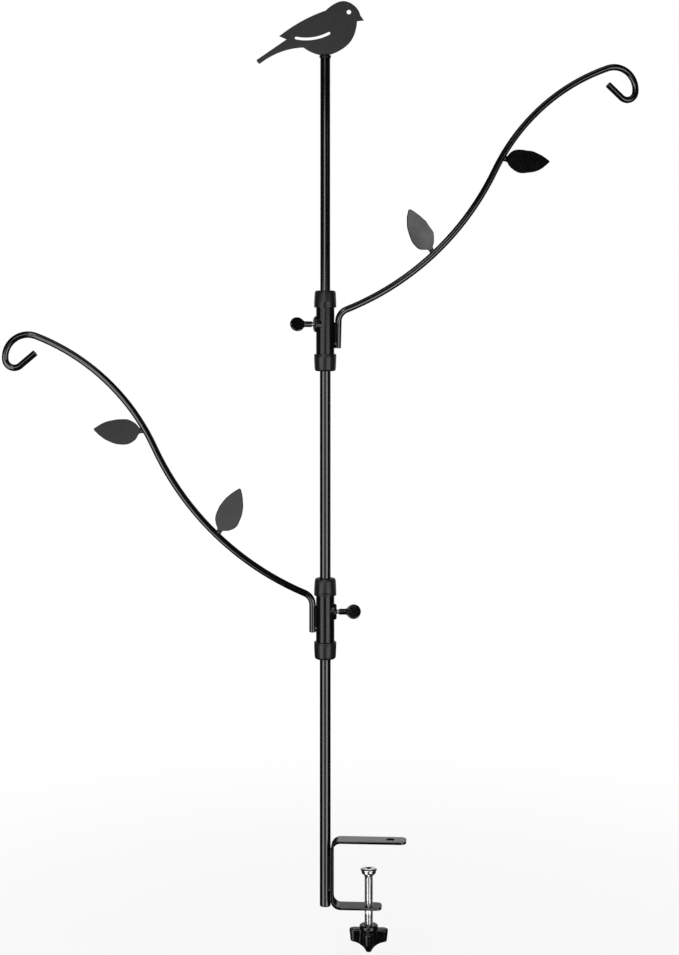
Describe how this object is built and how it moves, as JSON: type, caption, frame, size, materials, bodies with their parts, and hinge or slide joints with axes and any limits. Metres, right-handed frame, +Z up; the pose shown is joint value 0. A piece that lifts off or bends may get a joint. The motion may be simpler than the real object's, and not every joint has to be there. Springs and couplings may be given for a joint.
{
  "type": "clamp-on bird feeder pole",
  "caption": "Clamp-on deck pole for hanging bird feeders: rail clamp with a hand screw, sectional pole, swinging leaf-trimmed hook arms on sliding collars, and a flat bird on top.",
  "frame": {"origin": "on the underside of the upper jaw, where the clamp screw's axis meets it", "axes": "+Z up along the pole, +X along the jaws away from the pole"},
  "size_m": [0.7718, 0.1284, 1.139],
  "materials": {
    "black_powder_coat": "semi-gloss black powder coat on steel",
    "collar_cap_plastic": "matt black moulded plastic",
    "knob_plastic": "black moulded plastic",
    "bright_zinc": "bright zinc plate",
    "insert_brass": "turned brass"
  },
  "bodies": {
    "pole": {"clamp_bracket": "black_powder_coat", "bracket_welds": "black_powder_coat", "lower_pole": "black_powder_coat", "middle_pole": "black_powder_coat", "top_pole": "black_powder_coat", "pole_end_plug": "knob_plastic", "finial_plug": "black_powder_coat", "bird_finial": "black_powder_coat", "finial_welds": "black_powder_coat"},
    "upper_carriage": {"upper_top_cap": "collar_cap_plastic", "upper_bottom_cap": "collar_cap_plastic"},
    "upper_arm": {"upper_sleeve": "black_powder_coat", "upper_screw_boss": "black_powder_coat", "upper_arm_rod": "black_powder_coat", "upper_arm_welds": "black_powder_coat", "upper_inner_leaf": "black_powder_coat", "upper_outer_leaf": "black_powder_coat", "upper_leaf_welds": "black_powder_coat"},
    "upper_thumb": {"upper_thumb_screw": "black_powder_coat"},
    "lower_carriage": {"lower_top_cap": "collar_cap_plastic", "lower_bottom_cap": "collar_cap_plastic"},
    "lower_arm": {"lower_sleeve": "black_powder_coat", "lower_screw_boss": "black_powder_coat", "lower_arm_rod": "black_powder_coat", "lower_arm_welds": "black_powder_coat", "lower_inner_leaf": "black_powder_coat", "lower_outer_leaf": "black_powder_coat", "lower_leaf_welds": "black_powder_coat"},
    "lower_thumb": {"lower_thumb_screw": "black_powder_coat"},
    "clamp_pad": {"swivel_pad": "bright_zinc"},
    "clamp_spindle": {"clamp_screw": "bright_zinc", "clamp_knob": "knob_plastic", "knob_insert": "insert_brass"}
  },
  "joints": [
    {"name": "upper_arm_height", "type": "slide", "parent": "pole", "child": "upper_carriage", "axis": [0, 0, 1], "range_m": [-0.12, 0.22]},
    {"name": "upper_arm_swing", "type": "hinge", "parent": "upper_carriage", "child": "upper_arm", "pos_m": [-0.0522, 0, 0.612], "axis": [0, 0, 1], "continuous": true},
    {"name": "upper_thumb_turn", "type": "hinge", "parent": "upper_arm", "child": "upper_thumb", "pos_m": [-0.0522, 0, 0.62], "axis": [0.969, 0.247, 0], "range_deg": [-720, 0]},
    {"name": "lower_arm_height", "type": "slide", "parent": "pole", "child": "lower_carriage", "axis": [0, 0, 1], "range_m": [-0.2, 0.12]},
    {"name": "lower_arm_swing", "type": "hinge", "parent": "lower_carriage", "child": "lower_arm", "pos_m": [-0.0522, 0, 0.267], "axis": [0, 0, 1], "continuous": true},
    {"name": "lower_thumb_turn", "type": "hinge", "parent": "lower_arm", "child": "lower_thumb", "pos_m": [-0.0522, 0, 0.275], "axis": [-0.9981, -0.061, 0], "range_deg": [-720, 0]},
    {"name": "clamp_travel", "type": "slide", "parent": "pole", "child": "clamp_pad", "axis": [0, 0, 1], "range_m": [-0.034, 0.0195]},
    {"name": "clamp_turn", "type": "hinge", "parent": "clamp_pad", "child": "clamp_spindle", "pos_m": [0, 0, -0.0373], "axis": [0, 0, 1], "range_deg": [-8165, 4685]}
  ],
  "couplings": [
    {"joint": "clamp_turn", "follows": "clamp_travel", "rad_per_m": 4188.8}
  ]
}
